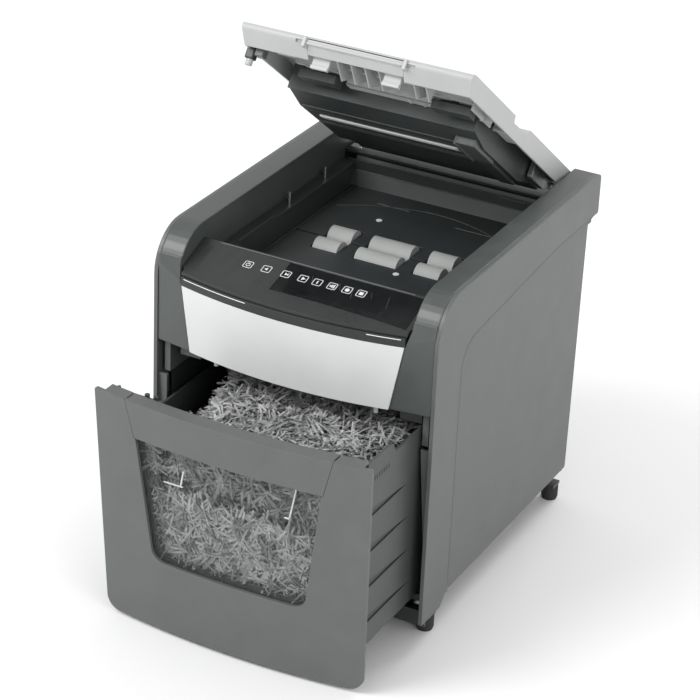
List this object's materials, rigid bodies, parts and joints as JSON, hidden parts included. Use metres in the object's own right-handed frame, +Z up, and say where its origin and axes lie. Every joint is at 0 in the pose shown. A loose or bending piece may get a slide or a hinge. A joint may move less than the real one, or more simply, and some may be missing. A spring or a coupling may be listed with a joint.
{
  "type": "paper shredder",
  "caption": "Auto-feed paper shredder with a lifting lid over its sheet tray, meshing cutters, feed rollers and a pull-out bin with a clear window.",
  "frame": {"origin": "on the floor under the middle of the bounding box of the machine as drawn, with its lid open and its bin pulled part of the way out", "axes": "+Z up, -Y out of the front, +X to the right of someone facing away from the machine's back; the bin slides along -Y"},
  "size_m": [0.291, 0.4688, 0.5281],
  "materials": {
    "grey_case": "satin moulded grey plastic with a fine grain",
    "dark_inner": "dark grey moulded plastic",
    "rim_grey": "darker satin grey plastic of the head",
    "bin_grey": "satin grey plastic of the bin",
    "silver_face": "brushed silver front strip",
    "black_gloss": "glossy black plastic",
    "smoked_window": "smoked clear plastic",
    "clear_window": "clear plastic bin window with a light grey tint",
    "pale_lid": "light grey moulded plastic",
    "white_part": "white moulded plastic",
    "roller_rubber": "grey rubber",
    "foot_rubber": "black rubber",
    "cutter_steel": "hardened steel, oiled",
    "plate_steel": "zinc plated sheet steel",
    "shaft_steel": "ground steel bar",
    "bronze": "sintered bronze",
    "gear_nylon": "natural nylon",
    "shredded_paper": "white office paper, cut in strips",
    "board_green": "printed circuit board with black parts"
  },
  "bodies": {
    "housing": {"side_panel_left": "grey_case", "side_panel_right": "grey_case", "bin_guide_left": "dark_inner", "bin_guide_right": "dark_inner", "rear_panel": "dark_inner", "base": "dark_inner", "feet": "foot_rubber", "head_blocks": "grey_case", "head_deck": "dark_inner", "shred_chute": "dark_inner", "cord_gland": "dark_inner", "deck_screws": "shaft_steel", "cheek_left": "rim_grey", "cheek_right": "rim_grey", "fascia": "silver_face", "fascia_pegs": "white_part", "trim_strip": "black_gloss", "control_panel": "black_gloss", "status_window": "smoked_window", "panel_bracket": "dark_inner", "paper_tray": "dark_inner", "tray_pins": "shaft_steel", "sensor_lenses": "white_part", "control_board": "board_green", "lid_switch": "dark_inner", "bin_switch": "dark_inner", "stripper_combs": "dark_inner", "side_plate_right": "plate_steel", "side_plate_left": "plate_steel", "bushes": "bronze", "tie_rods": "shaft_steel", "motor": "plate_steel", "gear_axles": "shaft_steel", "hinge_brackets": "plate_steel", "hinge_pins": "shaft_steel"},
    "lid": {"lid_shell": "pale_lid", "lid_liner": "dark_inner", "lid_arms": "plate_steel", "pad_brackets": "pale_lid", "pad_springs": "shaft_steel"},
    "lid_latch": {"lid_latch": "pale_lid"},
    "pad_left": {"pressure_pad_left": "dark_inner"},
    "pad_right": {"pressure_pad_right": "dark_inner"},
    "bin": {"bin_tub": "bin_grey", "bin_front": "grey_case", "bin_handle": "grey_case", "bin_window": "clear_window", "bin_pegs": "dark_inner", "shredded_paper": "shredded_paper"},
    "cutter_front": {"cutter_front": "cutter_steel"},
    "cutter_rear": {"cutter_rear": "cutter_steel"},
    "idler_gear": {"idler_gear": "gear_nylon"},
    "feed_front": {"feed_shaft_front": "shaft_steel", "feed_rollers_front": "roller_rubber"},
    "feed_rear": {"feed_shaft_rear": "shaft_steel", "feed_rollers_rear": "roller_rubber"},
    "drive_gear": {"drive_gear": "gear_nylon"},
    "motor_pinion": {"motor_pinion": "shaft_steel"},
    "lid_plunger": {"lid_plunger": "white_part"},
    "bin_plunger": {"bin_plunger": "white_part"}
  },
  "joints": [
    {"name": "lid_hinge", "type": "hinge", "parent": "housing", "child": "lid", "pos_m": [0, 0.21744, 0.337], "axis": [-1, 0, 0], "range_deg": [-37, 8]},
    {"name": "latch_pull", "type": "hinge", "parent": "lid", "child": "lid_latch", "pos_m": [0, -0.01534, 0.52243], "axis": [-1, 0, 0], "range_deg": [0, 6], "stiffness_Nm_per_rad": 0.5, "springref_deg": -5.73},
    {"name": "pad_left_press", "type": "slide", "parent": "lid", "child": "pad_left", "axis": [0, 0.6018, 0.7986], "range_m": [0, 0.005], "stiffness_N_per_m": 400, "springref_m": -0.004},
    {"name": "pad_right_press", "type": "slide", "parent": "lid", "child": "pad_right", "axis": [0, 0.6018, 0.7986], "range_m": [0, 0.005], "stiffness_N_per_m": 400, "springref_m": -0.004},
    {"name": "bin_slide", "type": "slide", "parent": "housing", "child": "bin", "axis": [0, -1, 0], "range_m": [-0.105, 0.1]},
    {"name": "cutter_rear_spin", "type": "hinge", "parent": "housing", "child": "cutter_rear", "pos_m": [0, 0.08494, 0.257], "axis": [1, 0, 0], "continuous": true},
    {"name": "cutter_front_spin", "type": "hinge", "parent": "housing", "child": "cutter_front", "pos_m": [0, 0.05294, 0.257], "axis": [1, 0, 0], "continuous": true},
    {"name": "idler_spin", "type": "hinge", "parent": "housing", "child": "idler_gear", "pos_m": [0, 0.03441, 0.26886], "axis": [1, 0, 0], "continuous": true},
    {"name": "feed_front_spin", "type": "hinge", "parent": "housing", "child": "feed_front", "pos_m": [0, 0.05394, 0.2875], "axis": [1, 0, 0], "continuous": true},
    {"name": "feed_rear_spin", "type": "hinge", "parent": "housing", "child": "feed_rear", "pos_m": [0, 0.08394, 0.2875], "axis": [1, 0, 0], "continuous": true},
    {"name": "drive_gear_spin", "type": "hinge", "parent": "housing", "child": "drive_gear", "pos_m": [0, 0.10562, 0.27105], "axis": [1, 0, 0], "continuous": true},
    {"name": "motor_spin", "type": "hinge", "parent": "housing", "child": "motor_pinion", "pos_m": [0, 0.14144, 0.2675], "axis": [1, 0, 0], "continuous": true},
    {"name": "lid_plunger_press", "type": "slide", "parent": "housing", "child": "lid_plunger", "axis": [0, 0, -1], "range_m": [0, 0.003], "stiffness_N_per_m": 150, "springref_m": -0.003},
    {"name": "bin_plunger_press", "type": "slide", "parent": "housing", "child": "bin_plunger", "axis": [0, 1, 0], "range_m": [0, 0.003], "stiffness_N_per_m": 150, "springref_m": -0.003}
  ],
  "couplings": [
    {"joint": "cutter_front_spin", "follows": "cutter_rear_spin", "ratio": -1},
    {"joint": "idler_spin", "follows": "cutter_rear_spin", "ratio": 0.83333},
    {"joint": "feed_front_spin", "follows": "cutter_rear_spin", "ratio": -0.66667},
    {"joint": "feed_rear_spin", "follows": "cutter_rear_spin", "ratio": 0.66667},
    {"joint": "drive_gear_spin", "follows": "cutter_rear_spin", "ratio": -1.7778},
    {"joint": "motor_spin", "follows": "cutter_rear_spin", "ratio": 8.8889}
  ]
}
